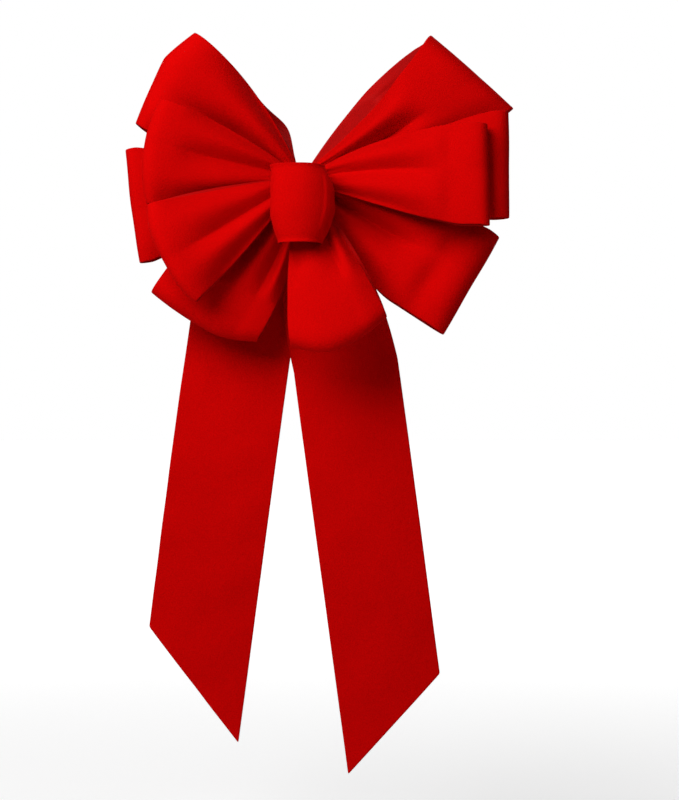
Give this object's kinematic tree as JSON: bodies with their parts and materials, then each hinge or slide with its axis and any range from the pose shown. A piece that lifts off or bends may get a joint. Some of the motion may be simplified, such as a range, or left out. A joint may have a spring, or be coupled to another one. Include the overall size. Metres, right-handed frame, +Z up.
{
  "type": "gift bow",
  "caption": "Pre-made ribbon gift bow with fanned loops round a centre loop, two slant-cut hanging tails and a bendable wire tie behind for fastening it.",
  "frame": {"origin": "middle of the back face of the gathered waist, where the fastening tie crosses it", "axes": "+Z up, +Y out of the back towards what the bow is tied to, +X to the viewer's right; the loops face -Y"},
  "size_m": [0.2249, 0.0811, 0.4412],
  "materials": {
    "velvet_ribbon": "matte",
    "binding_wire": "satin",
    "tie_cover": "matte",
    "tie_core": "satin"
  },
  "bodies": {
    "root": {"gathered_waist": "velvet_ribbon", "centre_loop": "velvet_ribbon", "binding_wire": "binding_wire", "tie_saddle": "tie_cover", "tie_saddle_core": "tie_core"},
    "upper_left_loop_body": {"upper_left_loop": "velvet_ribbon"},
    "middle_left_loop_body": {"middle_left_loop": "velvet_ribbon"},
    "rear_left_loop_body": {"rear_left_loop": "velvet_ribbon"},
    "lower_left_loop_body": {"lower_left_loop": "velvet_ribbon"},
    "bottom_left_loop_body": {"bottom_left_loop": "velvet_ribbon"},
    "upper_right_loop_body": {"upper_right_loop": "velvet_ribbon"},
    "rear_right_loop_body": {"rear_right_loop": "velvet_ribbon"},
    "front_right_loop_body": {"front_right_loop": "velvet_ribbon"},
    "lower_right_loop_body": {"lower_right_loop": "velvet_ribbon"},
    "bottom_centre_loop_body": {"bottom_centre_loop": "velvet_ribbon"},
    "left_tail_body": {"left_tail": "velvet_ribbon"},
    "right_tail_body": {"right_tail": "velvet_ribbon"},
    "left_tie_body": {"left_tie_leg": "tie_cover", "left_tie_core": "tie_core"},
    "right_tie_body": {"right_tie_leg": "tie_cover", "right_tie_core": "tie_core"}
  },
  "joints": [
    {"name": "upper_left_fan", "type": "hinge", "parent": "root", "child": "upper_left_loop_body", "pos_m": [0, 0, 0], "axis": [0, -1, 0], "range_deg": [-10, 10]},
    {"name": "middle_left_fan", "type": "hinge", "parent": "root", "child": "middle_left_loop_body", "pos_m": [0, 0, 0], "axis": [0, -1, 0], "range_deg": [-10, 10]},
    {"name": "rear_left_fan", "type": "hinge", "parent": "root", "child": "rear_left_loop_body", "pos_m": [0, 0, 0], "axis": [0, -1, 0], "range_deg": [-10, 10]},
    {"name": "lower_left_fan", "type": "hinge", "parent": "root", "child": "lower_left_loop_body", "pos_m": [0, 0, 0], "axis": [0, -1, 0], "range_deg": [-10, 10]},
    {"name": "bottom_left_fan", "type": "hinge", "parent": "root", "child": "bottom_left_loop_body", "pos_m": [0, 0, 0], "axis": [0, -1, 0], "range_deg": [-10, 10]},
    {"name": "upper_right_fan", "type": "hinge", "parent": "root", "child": "upper_right_loop_body", "pos_m": [0, 0, 0], "axis": [0, -1, 0], "range_deg": [-10, 10]},
    {"name": "rear_right_fan", "type": "hinge", "parent": "root", "child": "rear_right_loop_body", "pos_m": [0, 0, 0], "axis": [0, -1, 0], "range_deg": [-10, 10]},
    {"name": "front_right_fan", "type": "hinge", "parent": "root", "child": "front_right_loop_body", "pos_m": [0, 0, 0], "axis": [0, -1, 0], "range_deg": [-10, 10]},
    {"name": "lower_right_fan", "type": "hinge", "parent": "root", "child": "lower_right_loop_body", "pos_m": [0, 0, 0], "axis": [0, -1, 0], "range_deg": [-10, 10]},
    {"name": "bottom_centre_fan", "type": "hinge", "parent": "root", "child": "bottom_centre_loop_body", "pos_m": [0, 0, 0], "axis": [0, -1, 0], "range_deg": [-10, 10]},
    {"name": "left_tail_swing", "type": "hinge", "parent": "root", "child": "left_tail_body", "pos_m": [0, 0, 0], "axis": [0, -1, 0], "range_deg": [-10, 14]},
    {"name": "right_tail_swing", "type": "hinge", "parent": "root", "child": "right_tail_body", "pos_m": [0, 0, 0], "axis": [0, -1, 0], "range_deg": [-14, 10]},
    {"name": "left_tie_bend", "type": "hinge", "parent": "root", "child": "left_tie_body", "pos_m": [-0.0082, 0.0011, 0], "axis": [0, 0, -1], "range_deg": [0, 90]},
    {"name": "right_tie_bend", "type": "hinge", "parent": "root", "child": "right_tie_body", "pos_m": [0.0082, 0.0011, 0], "axis": [0, 0, 1], "range_deg": [0, 90]}
  ]
}
